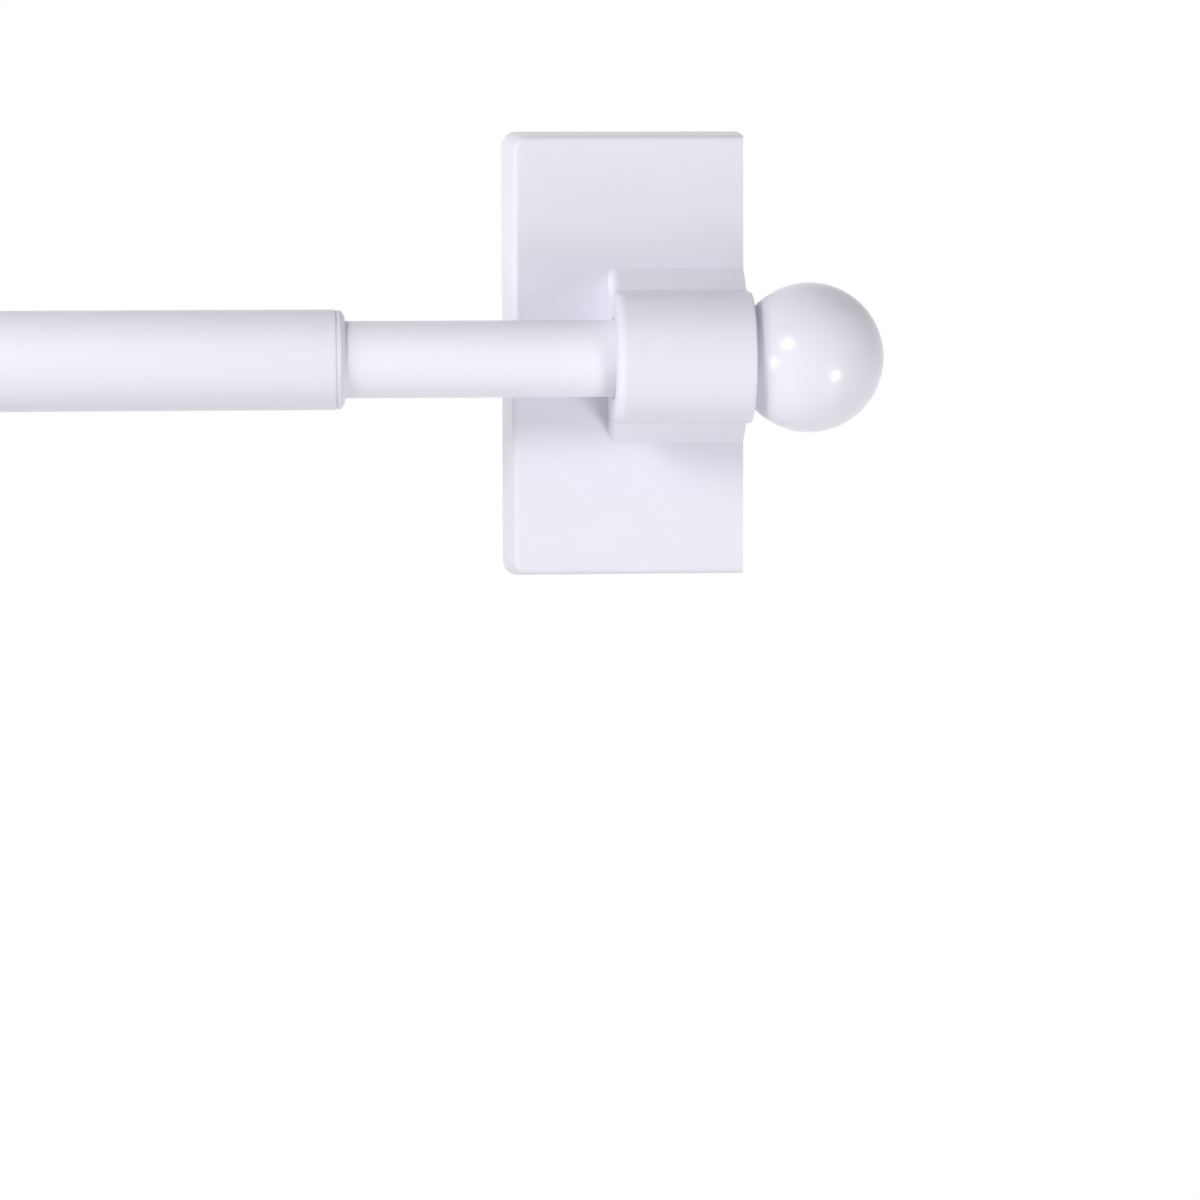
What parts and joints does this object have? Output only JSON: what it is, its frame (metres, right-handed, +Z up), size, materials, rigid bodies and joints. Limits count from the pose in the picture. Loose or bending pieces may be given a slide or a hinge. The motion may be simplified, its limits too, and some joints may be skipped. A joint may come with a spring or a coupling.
{
  "type": "magnetic curtain rod bracket",
  "caption": "Magnetic bracket for a slim curtain rod: rectangular magnet plate with a round-fronted socket, a telescopic tube end and a ball finial.",
  "frame": {"origin": "centre of the plate's back face, where the pad clings to the steel", "axes": "+X along the rod towards the finial, +Y out of the back face into the steel, +Z up the plate's long side"},
  "size_m": [0.1633, 0.028, 0.0592],
  "materials": {
    "moulded_white": "satin moulded white",
    "cover_white": "fine matt moulded white",
    "grip_rubber": "matt thin rubber",
    "keeper_steel": "plain rolled steel",
    "ferrite": "sintered dark grey",
    "painted_tube": "satin white paint on steel tube",
    "sleeve_plastic": "natural white moulded",
    "ring_white": "satin moulded white",
    "finial_white": "glossy moulded white"
  },
  "bodies": {
    "bracket": {"bracket_body": "moulded_white", "back_cover": "cover_white", "grip_pad": "grip_rubber", "keeper_upper": "keeper_steel", "keeper_lower": "keeper_steel", "magnet_upper": "ferrite", "magnet_lower": "ferrite"},
    "rod": {"inner_tube": "painted_tube"},
    "sleeve": {"friction_sleeve": "sleeve_plastic"},
    "outer": {"outer_tube": "painted_tube", "mouth_ring": "ring_white"},
    "finial": {"finial_ball": "finial_white"}
  },
  "joints": [
    {"name": "rod_turn", "type": "hinge", "parent": "bracket", "child": "rod", "pos_m": [0, -0.01828, 0], "axis": [1, 0, 0], "continuous": true},
    {"name": "outer_turn", "type": "hinge", "parent": "rod", "child": "sleeve", "pos_m": [-0.0832, -0.01828, 0], "axis": [1, 0, 0], "continuous": true},
    {"name": "telescope", "type": "slide", "parent": "sleeve", "child": "outer", "axis": [-1, 0, 0], "range_m": [-0.03455, 0.0327]},
    {"name": "finial_pull", "type": "slide", "parent": "rod", "child": "finial", "axis": [1, 0, 0], "range_m": [0, 0.014]}
  ]
}
